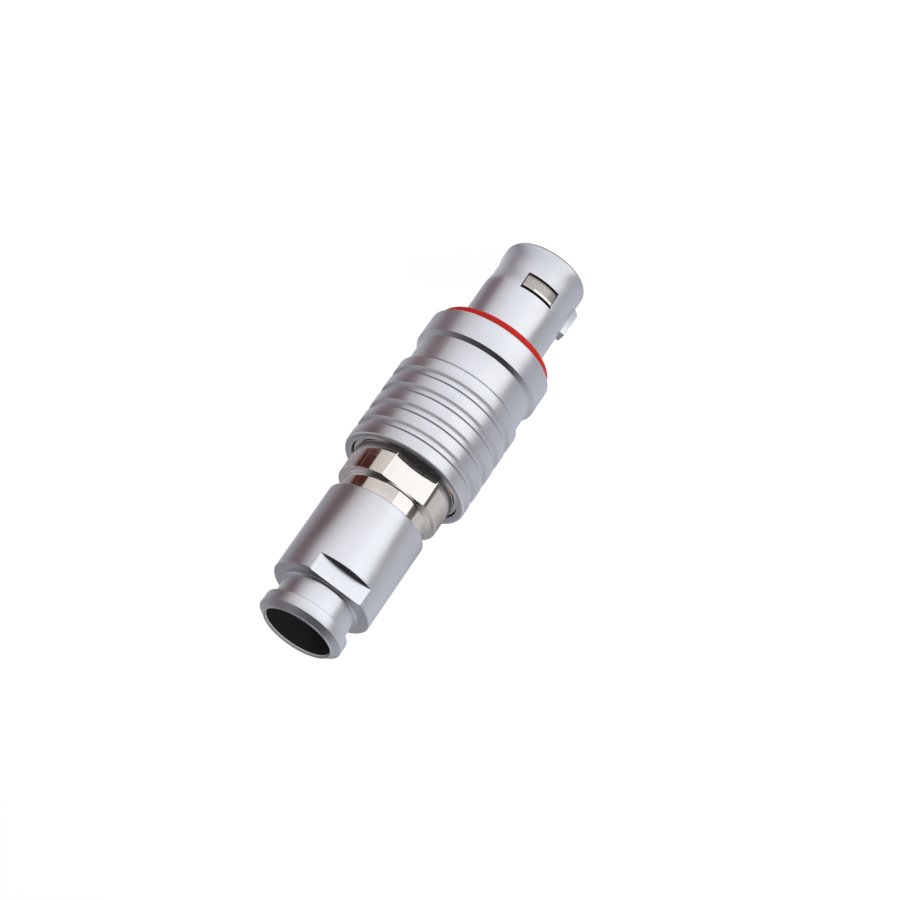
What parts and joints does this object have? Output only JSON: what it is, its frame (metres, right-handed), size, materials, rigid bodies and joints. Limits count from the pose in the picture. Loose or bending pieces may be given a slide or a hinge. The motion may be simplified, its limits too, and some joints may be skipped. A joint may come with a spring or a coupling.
{
  "type": "push pull circular connector",
  "caption": "Keyed cable plug with a sliding ridged grip, two spring latches in its nose, a red face seal and a screwed cable clamp nut.",
  "frame": {"origin": "centre of the nose tip's rim, on the surface that the plug stands on", "axes": "+Z along the plug's axis from the nose tip to the cable mouth; the latch windows face -Y and +Y; the alignment key is at -X"},
  "size_m": [0.013, 0.013, 0.0452],
  "materials": {
    "satin_chrome": "satin",
    "bright_nickel": "gloss",
    "red_seal": "gloss",
    "black_rubber": "matte",
    "insulator_resin": "satin",
    "plated_brass": "satin",
    "gold_plate": "polished"
  },
  "bodies": {
    "core": {"plug_body": "bright_nickel", "body_o_ring": "black_rubber", "latch_sleeve": "bright_nickel", "insulator": "insulator_resin", "insert_carrier_left": "plated_brass", "insert_carrier_right": "plated_brass", "contact_pin_1": "gold_plate", "contact_pin_2": "gold_plate", "contact_pin_3": "gold_plate", "contact_pin_4": "gold_plate", "contact_pin_5": "gold_plate", "contact_pin_6": "gold_plate", "contact_pin_7": "gold_plate", "cable_collet": "plated_brass", "cable_gasket": "black_rubber"},
    "shell": {"outer_shell": "satin_chrome", "face_seal_ring": "red_seal"},
    "finger_near": {"latch_finger_near": "bright_nickel"},
    "finger_far": {"latch_finger_far": "bright_nickel"},
    "washer": {"thrust_washer": "plated_brass"},
    "nut": {"collet_nut": "satin_chrome"}
  },
  "joints": [
    {"name": "shell_pull", "type": "slide", "parent": "core", "child": "shell", "axis": [0, 0, 1], "range_m": [0, 0.0012], "stiffness_N_per_m": 3000, "springref_m": -0.0003},
    {"name": "finger_near_flex", "type": "hinge", "parent": "core", "child": "finger_near", "pos_m": [0, -0.00358, 0.01412], "axis": [1, 0, 0], "range_deg": [0, 4.9]},
    {"name": "finger_far_flex", "type": "hinge", "parent": "core", "child": "finger_far", "pos_m": [0, 0.00358, 0.01412], "axis": [-1, 0, 0], "range_deg": [0, 4.9]},
    {"name": "nut_advance", "type": "slide", "parent": "core", "child": "washer", "axis": [0, 0, 1], "range_m": [0, 0.004]},
    {"name": "nut_turn", "type": "hinge", "parent": "washer", "child": "nut", "pos_m": [0, 0, 0.036], "axis": [0, 0, 1], "range_deg": [0, 2885]}
  ],
  "couplings": [
    {"joint": "finger_near_flex", "follows": "shell_pull", "rad_per_m": 70.8},
    {"joint": "finger_far_flex", "follows": "shell_pull", "rad_per_m": 70.8},
    {"joint": "nut_turn", "follows": "nut_advance", "rad_per_m": 12566}
  ]
}
